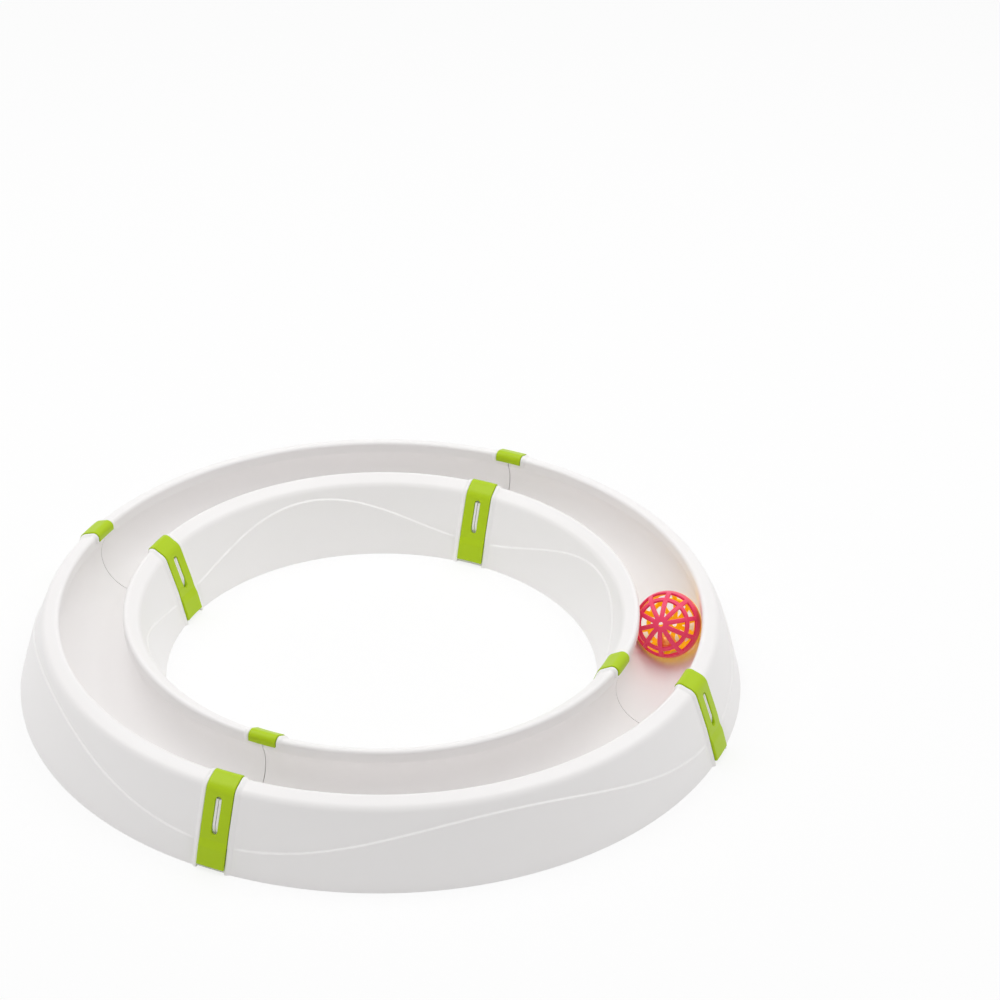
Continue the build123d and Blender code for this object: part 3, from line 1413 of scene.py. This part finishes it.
        middle = (latitude[:-1] + latitude[1:]) / 2
        in_window = np.any([(middle > low) & (middle < high) for low, high in self.windows()], 0)
        columns = np.arange(angle.shape[1] - 1) % (self.spoke_columns + self.window_columns)
        between = columns >= self.spoke_columns
        solid = ~(in_window[:, None] & between[None])

        skin = Skin()
        skin.add(outside, solid)
        skin.add(inside, solid)
        walls = np.stack((outside, inside))
        for index in range(1, len(latitude) - 1):
            changed = solid[index - 1] != solid[index]
            skin.add(walls[:, index], changed[None])
        for index in range(angle.shape[1] - 1):
            changed = solid[:, index - 1] != solid[:, index]
            skin.add(walls[:, :, index], changed[None])
        skin.add(walls[:, 0])
        skin.add(self.joint(outside[-1], inside[-1], angle[-1:], half))
        return skin.build(name)

    def joint(self, outside: Array, inside: Array, angle: Array, half: BallHalf) -> Array:
        """Profile of the equator's joint carried round it, from the outer to the inner edge.

        Pink carries a tongue below its equator and yellow a socket that clears it.

        Args:
            outside: Outer edge of the half at the equator.
            inside: Edge of its hollow.
            angle: Angles about the pole, of shape (1, columns).
            half: Half of the ball.

        Returns:
            Points of shape (rows, columns, 3).
        """
        thick = self.bore + self.tongue_thickness
        if half is BallHalf.PINK:
            drop = math.asin(self.tongue_height / self.bore)
            profile = ((thick, 0.0), (thick, drop), (self.bore, drop))
        else:
            drop = math.asin((self.tongue_height + self.tongue_clearance) / self.bore)
            thick += self.tongue_clearance
            profile = ((thick, 0.0), (thick, -drop))
        rows = [
            self.placed(np.array([[radius]]), np.array([[math.pi / 2 + turn]]), angle, half)[0]
            for radius, turn in profile
        ]
        return np.stack((outside, *rows, inside))


@dataclass(frozen=True)
class SoftLamp:
    """Round soft lamp that faces the toy; its place is in metres before the camera's turn."""

    name: str
    place: tuple[float, float, float]
    power: float
    size: float

    def add(self, turn: float) -> None:
        """Adds the lamp to the scene, aimed at the origin.

        Args:
            turn: Angle in degrees about the Z axis.
        """
        lamp = bpy.data.lights.new(self.name, "AREA")
        lamp.energy, lamp.shape, lamp.size = self.power, "DISK", self.size
        stand = bpy.data.objects.new(self.name, lamp)
        place = Vector(spun(np.array(self.place), turn).tolist())
        stand.location = place
        stand.rotation_euler = (-place).to_track_quat("-Z", "Y").to_euler()
        bpy.context.scene.collection.objects.link(stand)


@dataclass(frozen=True)
class Studio:
    """Floor, soft light and camera, with the camera at the reference view's angle."""

    floor_reach: float = 6000.0
    ambient: float = 0.49
    lamps: tuple[SoftLamp, ...] = (
        SoftLamp("overhead", (-0.1, 0.3, 2.35), power=11.0, size=2.4),
        SoftLamp("left_side", (-1.2, 0.4, 2.1), power=12.5, size=1.8),
        SoftLamp("right_side", (1.2, 0.4, 2.1), power=14.0, size=1.8),
    )
    floor_tone: float = 0.97
    floor_shadow: float = 0.22
    camera_distance: float = 1537.803
    camera_height: float = 1046.189
    camera_pitch: float = 0.536619
    camera_yaw: float = 0.049630
    camera_roll: float = -0.023581
    camera_turn: float = -19.4
    focal_pixels: float = 2762.005
    image_pixels: float = 1000.0
    sensor: float = 36.0

    def seen_as_white(self, graph: ShaderGraph) -> Wire:
        """Tells the rays that show a backdrop from those that gather its light.

        Args:
            graph: Graph that the nodes go into.

        Returns:
            One for rays from the camera, from a reflection or through glass, else nought.
        """
        kinds = ("Is Camera Ray", "Is Glossy Ray", "Is Transmission Ray")
        camera, glossy, through = (
            graph.add("ShaderNodeLightPath", output=kind) for kind in kinds
        )
        return (camera + glossy + through).at_most(1.0)

    def light(self) -> None:
        """Even ambient light that looks white to the camera, and the soft lamps."""
        world = bpy.data.worlds.new("studio")
        world.use_nodes = True
        graph = ShaderGraph(world.node_tree)
        shown = self.seen_as_white(graph)
        strength = self.ambient + (1.0 - self.ambient) * shown
        background = graph.add(
            "ShaderNodeBackground", inputs={"Color": WHITE, "Strength": strength}
        )
        graph.add("ShaderNodeOutputWorld", inputs={"Surface": background})
        bpy.context.scene.world = world
        for lamp in self.lamps:
            lamp.add(self.camera_turn)

    def floor(self) -> None:
        """Plain pale floor: part of it glows white to the camera, the rest takes shadow."""
        reach = self.floor_reach * MM
        mesh = bpy.data.meshes.new("floor")
        corners = [(-reach, -reach, 0), (reach, -reach, 0), (reach, reach, 0), (-reach, reach, 0)]
        mesh.from_pydata(corners, [], [(0, 1, 2, 3)])
        floor = bpy.data.objects.new("floor", mesh)
        bpy.context.scene.collection.objects.link(floor)
        material, graph = empty_material("studio_floor")
        tone = opaque((self.floor_tone,) * 3)
        matte = graph.add("ShaderNodeBsdfDiffuse", inputs={"Color": tone})
        painted_and_backdrop_glow = graph.add("ShaderNodeEmission", inputs={"Color": WHITE})
        share = (1.0 - self.floor_shadow) * self.seen_as_white(graph)
        graph.surface(graph.add("ShaderNodeMixShader", inputs={0: share, 1: matte, 2: painted_and_backdrop_glow}))
        mesh.materials.append(material)

    def camera(self) -> None:
        """Camera from its place, pitch, yaw and roll.

        It stands at (0, -distance, height), looks along (sin yaw cos pitch, cos yaw cos
        pitch, -sin pitch), rolls about that line, and all of it is turned about the Z axis.
        """
        yaw, pitch, roll = self.camera_yaw, self.camera_pitch, self.camera_roll
        ahead = np.array(
            (math.sin(yaw) * math.cos(pitch), math.cos(yaw) * math.cos(pitch), -math.sin(pitch))
        )
        right = np.array((math.cos(yaw), -math.sin(yaw), 0.0))
        down = np.cross(ahead, right)
        level = math.cos(roll) * right + math.sin(roll) * down
        plumb = -math.sin(roll) * right + math.cos(roll) * down
        basis = spun(np.stack((level, -plumb, -ahead)), self.camera_turn)
        place = spun(np.array((0, -self.camera_distance, self.camera_height)), self.camera_turn)
        lens = bpy.data.cameras.new("camera")
        lens.sensor_width = self.sensor
        lens.lens = self.focal_pixels / self.image_pixels * self.sensor
        camera = bpy.data.objects.new("camera", lens)
        pose = Matrix(basis.T.tolist()).to_4x4()
        pose.translation = Vector((place * MM).tolist())
        camera.matrix_world = pose
        bpy.context.scene.collection.objects.link(camera)
        bpy.context.scene.camera = camera


@dataclass
class BallTrackToy:
    """The toy: four segments, eight clips, the ball and the bell in it."""

    wardrobe: Wardrobe = field(default_factory=Wardrobe)
    channel: Channel = Channel()
    outer: Rim = field(init=False)
    inner: Rim = field(init=False)
    segment_names: tuple[str, ...] = ("right", "back", "left", "front")
    joint_names: tuple[str, ...] = ("back_right", "back_left", "front_left", "front_right")
    quarter: float = 90.0

    def __post_init__(self) -> None:
        """Sets both rims."""
        self.outer = Rim(
            self.channel, side=1, band_width=11.5, band_angle=19.4, skirt_flare=17.0
        )
        self.inner = Rim(
            self.channel, side=-1, band_width=11.0, band_angle=30.0, skirt_flare=15.3
        )

    def place(self, piece: bpy.types.Object, finish: Finishes, body: str, node: str) -> None:
        """Dresses a piece, rides it on its body and shows it in place of its CAD node.

        Args:
            piece: The piece.
            finish: Its finish.
            body: Body that carries it.
            node: Node that it stands for.
        """
        self.wardrobe.dress(piece, finish)
        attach(piece, body)
        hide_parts(node)

    def add_track(self) -> None:
        """Adds the four segments."""
        segment = TrackSegment(self.outer, self.inner)
        for index, name in enumerate(self.segment_names):
            node = f"{name}_segment"
            piece = segment.build(f"{node}_moulding", index * self.quarter)
            self.place(piece, Finishes.WHITE, "track", node)

    def add_clips(self) -> None:
        """Adds the straps over both rims at every joint."""
        for side, rim in (("outer", self.outer), ("inner", self.inner)):
            clip = StrapClip(rim)
            for index, name in enumerate(self.joint_names):
                node = f"{side}_clip_{name}"
                piece = clip.build(f"{node}_strap", (index + 0.5) * self.quarter)
                self.place(piece, Finishes.GREEN, node, node)

    def add_ball(self) -> None:
        """Adds both halves of the ball, about the axis point of its rolling joint."""
        roll = next(joint for joint in frame["joints"] if joint["name"] == "ball_roll")
        ball = LatticeBall(np.array(roll["pos_m"]) / MM)
        for half, finish in ((BallHalf.PINK, Finishes.PINK), (BallHalf.YELLOW, Finishes.YELLOW)):
            node = f"ball_half_{half.name.lower()}"
            self.place(ball.build(f"{node}_lattice", half), finish, "ball", node)

    def dress_bell(self) -> None:
        """Gives the bell and its pellet their metal finishes."""
        for node, finish in (("bell_shell", Finishes.BRASS), ("bell_pellet", Finishes.STEEL)):
            self.wardrobe.dress(frame["nodes"][node], finish)
            log.info("%s: dressed", node)


def main() -> None:
    """Builds the toy, then the studio around it."""
    logging.basicConfig(level=logging.INFO, format="%(name)s: %(message)s")
    bpy.context.scene.view_settings.view_transform = "Standard"
    toy = BallTrackToy()
    toy.add_track()
    toy.add_clips()
    toy.add_ball()
    toy.dress_bell()
    studio = Studio()
    studio.light()
    studio.floor()
    studio.camera()


if __name__ == "__main__":
    main()
